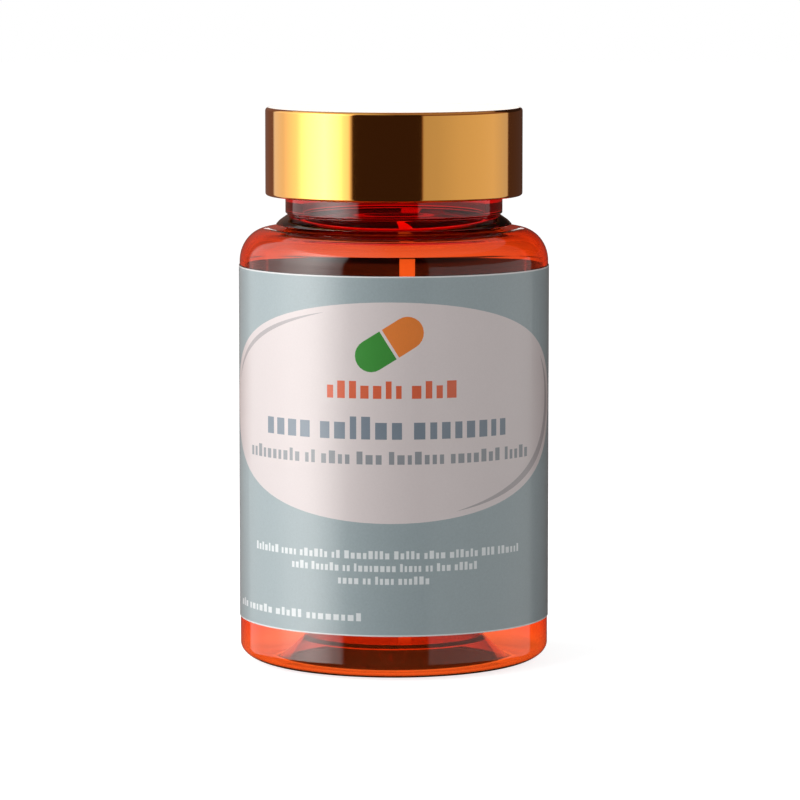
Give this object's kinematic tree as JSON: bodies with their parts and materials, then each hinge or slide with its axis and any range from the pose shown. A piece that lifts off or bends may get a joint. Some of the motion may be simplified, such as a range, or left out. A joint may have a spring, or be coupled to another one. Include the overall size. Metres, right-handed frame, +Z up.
{
  "type": "plastic capsule bottle with screw cap",
  "caption": "Round amber plastic bottle for capsules or tablets, with a wrap-round paper label and a smooth gilt metal-shelled screw cap; empty.",
  "frame": {"origin": "centre of the base, on the surface that the bottle stands on", "axes": "+Z up along the bottle's axis, from the base to the cap; -Y is the label's front, where the oval panel is"},
  "size_m": [0.0544, 0.0544, 0.0974],
  "materials": {
    "amber_plastic": "clear amber, blow moulded, glossy",
    "label_paper": "coated, blue-grey print with a pale oval panel",
    "gilt_metal": "gold anodised, bright",
    "white_plastic": "moulded, satin",
    "foam_liner": "foamed, matt"
  },
  "bodies": {
    "bottle": {"bottle": "amber_plastic", "label": "label_paper"},
    "seal": {"cap_liner": "foam_liner"},
    "cap": {"cap_shell": "gilt_metal", "cap_insert": "white_plastic"}
  },
  "joints": [
    {"name": "cap_rise", "type": "slide", "parent": "bottle", "child": "seal", "axis": [0, 0, 1], "range_m": [0, 0.0137]},
    {"name": "cap_turn", "type": "hinge", "parent": "seal", "child": "cap", "pos_m": [0, 0, 0.082], "axis": [0, 0, 1], "range_deg": [0, 1170]}
  ],
  "couplings": [
    {"joint": "cap_rise", "follows": "cap_turn", "m_per_rad": 0.00066845}
  ]
}
